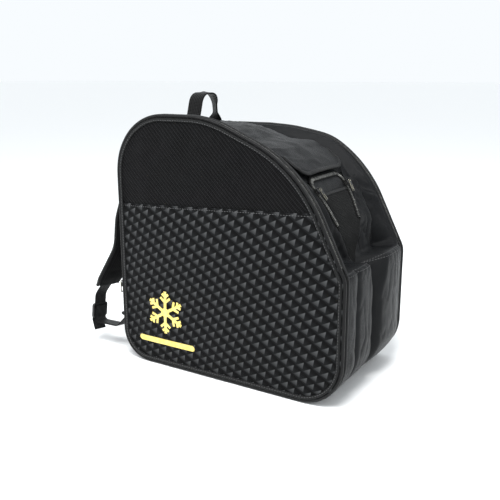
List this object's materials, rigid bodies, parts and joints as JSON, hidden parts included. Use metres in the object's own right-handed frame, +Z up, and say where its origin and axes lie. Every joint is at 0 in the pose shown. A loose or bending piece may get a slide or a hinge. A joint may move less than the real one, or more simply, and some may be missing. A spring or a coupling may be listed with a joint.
{
  "type": "skate bag",
  "caption": "Skate backpack with a boot-shaped side compartment for each skate, a V-shaped centre compartment under a storm flap, shoulder straps and a carry loop.",
  "frame": {"origin": "middle of the base, on the surface the bag stands on", "axes": "+X from the wearer's back towards the sloping toe, +Y across to the right compartment, +Z up"},
  "size_m": [0.4555, 0.2186, 0.414],
  "materials": {
    "mesh_panel": "open woven polyester mesh over foam",
    "print_fabric": "polyester twill printed with small grey triangles",
    "nylon": "coated nylon with a soft sheen",
    "lining": "plain polyester lining",
    "foam": "closed-cell foam sheet",
    "board": "polyethylene stiffener board",
    "back_mesh": "spacer mesh",
    "piping": "woven tape over a cord",
    "binding": "grosgrain binding tape",
    "zip": "nylon coil on woven tape",
    "knit": "stretch knit",
    "webbing": "ribbed polypropylene webbing",
    "zip_metal": "black painted zinc with worn bright edges",
    "buckle": "moulded acetal",
    "gold_foil": "gold heat-transfer film"
  },
  "bodies": {
    "bag": {"base_panel": "nylon", "left_base_board": "board", "right_base_board": "board", "back_panel": "back_mesh", "back_foam": "foam", "back_lining": "lining", "left_toe_panel": "nylon", "left_gusset": "nylon", "left_divider": "lining", "right_toe_panel": "nylon", "right_gusset": "nylon", "right_divider": "lining", "lower_divider": "lining", "centre_top_panel": "nylon", "front_surround": "nylon", "front_zip_chain": "zip", "left_lower_panel": "print_fabric", "left_lower_piping": "piping", "left_zip_chain": "zip", "left_gusset_piping": "piping", "right_lower_panel": "print_fabric", "right_lower_piping": "piping", "right_zip_chain": "zip", "right_gusset_piping": "piping", "handle_patch": "webbing", "left_strap_anchor": "webbing", "left_corner_tab": "webbing", "right_strap_anchor": "webbing", "right_corner_tab": "webbing", "motif_crystal": "gold_foil", "motif_bar": "gold_foil"},
    "left_door": {"left_mesh_panel": "mesh_panel", "left_print_panel": "print_fabric", "left_door_foam": "foam", "left_door_piping": "piping"},
    "right_door": {"right_mesh_panel": "mesh_panel", "right_print_panel": "print_fabric", "right_door_foam": "foam", "right_door_piping": "piping"},
    "front_door": {"front_door": "nylon", "mesh_pocket": "knit", "pocket_binding": "binding"},
    "storm_flap": {"storm_flap": "nylon", "flap_binding": "binding"},
    "carry_handle": {"carry_handle": "webbing"},
    "left_side_slider": {"left_zip_slider": "zip_metal"},
    "left_side_pull": {"left_zip_pull": "zip_metal"},
    "left_front_slider": {"left_front_slider": "zip_metal"},
    "left_front_pull": {"left_front_pull": "zip_metal"},
    "left_strap": {"left_strap_pad": "back_mesh", "left_strap_webbing": "webbing", "left_strap_buckle": "buckle"},
    "right_side_slider": {"right_zip_slider": "zip_metal"},
    "right_side_pull": {"right_zip_pull": "zip_metal"},
    "right_front_slider": {"right_front_slider": "zip_metal"},
    "right_front_pull": {"right_front_pull": "zip_metal"},
    "right_strap": {"right_strap_pad": "back_mesh", "right_strap_webbing": "webbing", "right_strap_buckle": "buckle"}
  },
  "joints": [
    {"name": "left_door_fold", "type": "hinge", "parent": "bag", "child": "left_door", "pos_m": [0, -0.109, 0.1535], "axis": [0.9754, 0, 0.2205], "range_deg": [0, 100]},
    {"name": "right_door_fold", "type": "hinge", "parent": "bag", "child": "right_door", "pos_m": [0, 0.109, 0.1535], "axis": [-0.9754, 0, -0.2205], "range_deg": [0, 100]},
    {"name": "front_door_fold", "type": "hinge", "parent": "bag", "child": "front_door", "pos_m": [0.14141, 0, 0.23347], "axis": [0, 1, 0], "range_deg": [0, 95]},
    {"name": "storm_flap_lift", "type": "hinge", "parent": "bag", "child": "storm_flap", "pos_m": [0.06821, 0, 0.32343], "axis": [0, -1, 0], "range_deg": [0, 110]},
    {"name": "carry_handle_tilt", "type": "hinge", "parent": "bag", "child": "carry_handle", "pos_m": [-0.103, 0, 0.3788], "axis": [0, 1, 0], "range_deg": [-70, 70]},
    {"name": "left_side_zip_run", "type": "slide", "parent": "bag", "child": "left_side_slider", "axis": [0, 0, 1], "range_m": [0, 0.15]},
    {"name": "left_side_pull_lift", "type": "hinge", "parent": "left_side_slider", "child": "left_side_pull", "pos_m": [-0.1946, -0.1018, 0.1206], "axis": [0, 1, 0], "range_deg": [0, 150]},
    {"name": "left_front_zip_run", "type": "slide", "parent": "bag", "child": "left_front_slider", "axis": [0.5079, 0.1955, -0.8389], "range_m": [0, 0.045]},
    {"name": "left_front_pull_lift", "type": "hinge", "parent": "left_front_slider", "child": "left_front_pull", "pos_m": [0.11833, -0.03603, 0.28819], "axis": [0.1012, -0.9807, -0.1672], "range_deg": [0, 120]},
    {"name": "left_strap_swing", "type": "hinge", "parent": "bag", "child": "left_strap", "pos_m": [-0.199, -0.081, 0.058], "axis": [0, 0.1408, 0.99], "range_deg": [-20, 20]},
    {"name": "right_side_zip_run", "type": "slide", "parent": "bag", "child": "right_side_slider", "axis": [0, 0, 1], "range_m": [0, 0.15]},
    {"name": "right_side_pull_lift", "type": "hinge", "parent": "right_side_slider", "child": "right_side_pull", "pos_m": [-0.1946, 0.1018, 0.1206], "axis": [0, 1, 0], "range_deg": [0, 150]},
    {"name": "right_front_zip_run", "type": "slide", "parent": "bag", "child": "right_front_slider", "axis": [0.5079, -0.1955, -0.8389], "range_m": [0, 0.045]},
    {"name": "right_front_pull_lift", "type": "hinge", "parent": "right_front_slider", "child": "right_front_pull", "pos_m": [0.11833, 0.03603, 0.28819], "axis": [-0.1012, -0.9807, 0.1672], "range_deg": [0, 120]},
    {"name": "right_strap_swing", "type": "hinge", "parent": "bag", "child": "right_strap", "pos_m": [-0.199, 0.081, 0.058], "axis": [0, 0.1408, -0.99], "range_deg": [-20, 20]}
  ]
}
